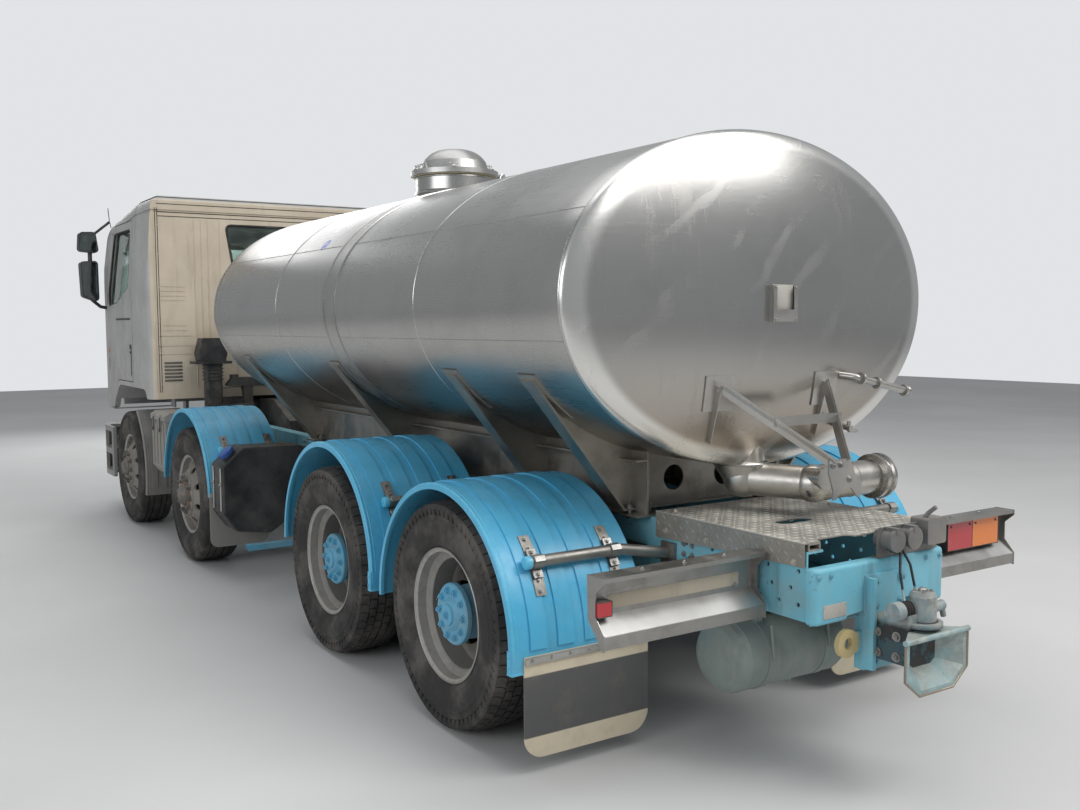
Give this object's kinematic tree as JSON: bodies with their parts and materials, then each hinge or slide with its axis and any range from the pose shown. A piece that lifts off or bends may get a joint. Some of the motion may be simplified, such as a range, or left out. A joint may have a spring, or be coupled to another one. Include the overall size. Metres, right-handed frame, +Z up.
{
  "type": "tanker truck",
  "caption": "Rigid cab-over tanker truck with an oval stainless milk tank, blue wheel guards, tilting cab, steered front axles and a rear towing coupling.",
  "frame": {"origin": "on the ground under the middle of the truck's bounding box", "axes": "+X forward, +Y to the truck's left, +Z up"},
  "size_m": [9.1, 2.9156, 2.924],
  "materials": {
    "painted_frame": "dusty black chassis paint",
    "blue_paint": "light blue paint, dusty",
    "blue_plastic": "moulded light blue plastic",
    "stainless": "brushed stainless steel",
    "galvanised": "galvanised steel",
    "tread_plate": "worn tread plate",
    "cast_grey": "grey casting with dust",
    "worn_teal": "worn grey-green paint",
    "cab_beige": "beige paint",
    "cab_grey": "light grey dusty paint",
    "bumper_grey": "light grey dusty paint",
    "black_plastic": "moulded black plastic",
    "interior": "grey cab trim",
    "seat_cloth": "woven seat cloth",
    "glass": "greenish cab glass",
    "lamp_lens": "red and amber lamp lenses",
    "tyre": "worn tyre rubber",
    "rim_grey": "silver-grey wheel paint, dusty",
    "hub_blue": "light blue hub paint",
    "flap": "cream mudflap with a dark band",
    "alu_tank": "aluminium fuel tank",
    "dusty_box": "dusty grey plastic"
  },
  "bodies": {
    "chassis": {"air_intake": "black_plastic", "air_tank": "worn_teal", "bumper": "bumper_grey", "cab_mounts": "painted_frame", "chassis_frame": "painted_frame", "coupling_funnel": "worn_teal", "drivetrain": "cast_grey", "front_axles": "painted_frame", "front_guards": "blue_plastic", "fuel_tank": "alu_tank", "guard_brackets": "galvanised", "lamp_bars": "stainless", "lamps": "lamp_lens", "leaf_springs": "painted_frame", "mudflaps": "flap", "outlet_pipe": "stainless", "rear_axles": "painted_frame", "rear_crossmember": "blue_paint", "rear_deck": "tread_plate", "rear_guards": "blue_plastic", "side_rest": "blue_paint", "small_tank": "black_plastic", "step_boxes": "dusty_box", "tank_fittings": "stainless", "tank_saddles": "stainless", "tank_shell": "stainless", "tow_coupling": "cast_grey", "trailer_sockets": "cast_grey"},
    "cab": {"cab_shell": "cab_beige", "cab_glass": "glass", "mirrors": "black_plastic", "dashboard": "interior", "seats": "seat_cloth"},
    "front_flap": {"grille": "cab_grey"},
    "steering_wheel": {"steering_wheel": "interior"},
    "manlid": {"manlid": "stainless"},
    "door_left": {"door_left": "cab_grey", "door_glass_left": "glass"},
    "door_right": {"door_right": "cab_grey", "door_glass_right": "glass"},
    "wheel_first_left": {"tyre_first_left": "tyre", "rim_first_left": "rim_grey"},
    "knuckle_first_left": {"knuckle_first_left": "painted_frame"},
    "wheel_first_right": {"tyre_first_right": "tyre", "rim_first_right": "rim_grey"},
    "knuckle_first_right": {"knuckle_first_right": "painted_frame"},
    "wheel_second_left": {"tyre_second_left": "tyre", "rim_second_left": "rim_grey"},
    "knuckle_second_left": {"knuckle_second_left": "painted_frame"},
    "wheel_second_right": {"tyre_second_right": "tyre", "rim_second_right": "rim_grey"},
    "knuckle_second_right": {"knuckle_second_right": "painted_frame"},
    "wheel_third_left": {"tyres_third_left": "tyre", "rims_third_left": "hub_blue"},
    "wheel_third_right": {"tyres_third_right": "tyre", "rims_third_right": "hub_blue"},
    "wheel_fourth_left": {"tyres_fourth_left": "tyre", "rims_fourth_left": "hub_blue"},
    "wheel_fourth_right": {"tyres_fourth_right": "tyre", "rims_fourth_right": "hub_blue"}
  },
  "joints": [
    {"name": "cab_tilt", "type": "hinge", "parent": "chassis", "child": "cab", "pos_m": [4.35, 0, 0.88], "axis": [0, 1, 0], "range_deg": [0, 60]},
    {"name": "front_flap_hinge", "type": "hinge", "parent": "cab", "child": "front_flap", "pos_m": [4.462, 0, 1.735], "axis": [0, -1, 0], "range_deg": [0, 75]},
    {"name": "manlid_hinge", "type": "hinge", "parent": "chassis", "child": "manlid", "pos_m": [-0.83, -0.33, 2.77], "axis": [1, 0, 0], "range_deg": [0, 110]},
    {"name": "door_left_hinge", "type": "hinge", "parent": "cab", "child": "door_left", "pos_m": [3.922, 1.225, 1.6], "axis": [0, 0, -1], "range_deg": [0, 75]},
    {"name": "door_right_hinge", "type": "hinge", "parent": "cab", "child": "door_right", "pos_m": [3.922, -1.225, 1.6], "axis": [0, 0, 1], "range_deg": [0, 75]},
    {"name": "steer_first_left", "type": "hinge", "parent": "chassis", "child": "knuckle_first_left", "pos_m": [3.155, 0.9, 0.512], "axis": [0, 0, 1], "range_deg": [-38, 38]},
    {"name": "spin_first_left", "type": "hinge", "parent": "knuckle_first_left", "child": "wheel_first_left", "pos_m": [3.155, 1.095, 0.512], "axis": [0, 1, 0], "continuous": true},
    {"name": "steer_first_right", "type": "hinge", "parent": "chassis", "child": "knuckle_first_right", "pos_m": [3.155, -0.9, 0.512], "axis": [0, 0, 1], "range_deg": [-38, 38]},
    {"name": "spin_first_right", "type": "hinge", "parent": "knuckle_first_right", "child": "wheel_first_right", "pos_m": [3.155, -1.095, 0.512], "axis": [0, 1, 0], "continuous": true},
    {"name": "steer_second_left", "type": "hinge", "parent": "chassis", "child": "knuckle_second_left", "pos_m": [1.215, 0.9, 0.512], "axis": [0, 0, 1], "range_deg": [-24.32, 24.32]},
    {"name": "spin_second_left", "type": "hinge", "parent": "knuckle_second_left", "child": "wheel_second_left", "pos_m": [1.215, 1.095, 0.512], "axis": [0, 1, 0], "continuous": true},
    {"name": "steer_second_right", "type": "hinge", "parent": "chassis", "child": "knuckle_second_right", "pos_m": [1.215, -0.9, 0.512], "axis": [0, 0, 1], "range_deg": [-24.32, 24.32]},
    {"name": "spin_second_right", "type": "hinge", "parent": "knuckle_second_right", "child": "wheel_second_right", "pos_m": [1.215, -1.095, 0.512], "axis": [0, 1, 0], "continuous": true},
    {"name": "spin_third_left", "type": "hinge", "parent": "chassis", "child": "wheel_third_left", "pos_m": [-1.545, 1.095, 0.512], "axis": [0, 1, 0], "continuous": true},
    {"name": "spin_third_right", "type": "hinge", "parent": "chassis", "child": "wheel_third_right", "pos_m": [-1.545, -1.095, 0.512], "axis": [0, 1, 0], "continuous": true},
    {"name": "spin_fourth_left", "type": "hinge", "parent": "chassis", "child": "wheel_fourth_left", "pos_m": [-2.9, 1.095, 0.512], "axis": [0, 1, 0], "continuous": true},
    {"name": "spin_fourth_right", "type": "hinge", "parent": "chassis", "child": "wheel_fourth_right", "pos_m": [-2.9, -1.095, 0.512], "axis": [0, 1, 0], "continuous": true},
    {"name": "steering_wheel_turn", "type": "hinge", "parent": "cab", "child": "steering_wheel", "pos_m": [3.78, -0.62, 1.9], "axis": [-0.6, 0, 0.8], "range_deg": [-608, 608]}
  ],
  "couplings": [
    {"joint": "steer_first_right", "follows": "steer_first_left", "ratio": 1},
    {"joint": "steer_second_left", "follows": "steer_first_left", "ratio": 0.64},
    {"joint": "steer_second_right", "follows": "steer_first_left", "ratio": 0.64},
    {"joint": "steering_wheel_turn", "follows": "steer_first_left", "ratio": 16}
  ]
}
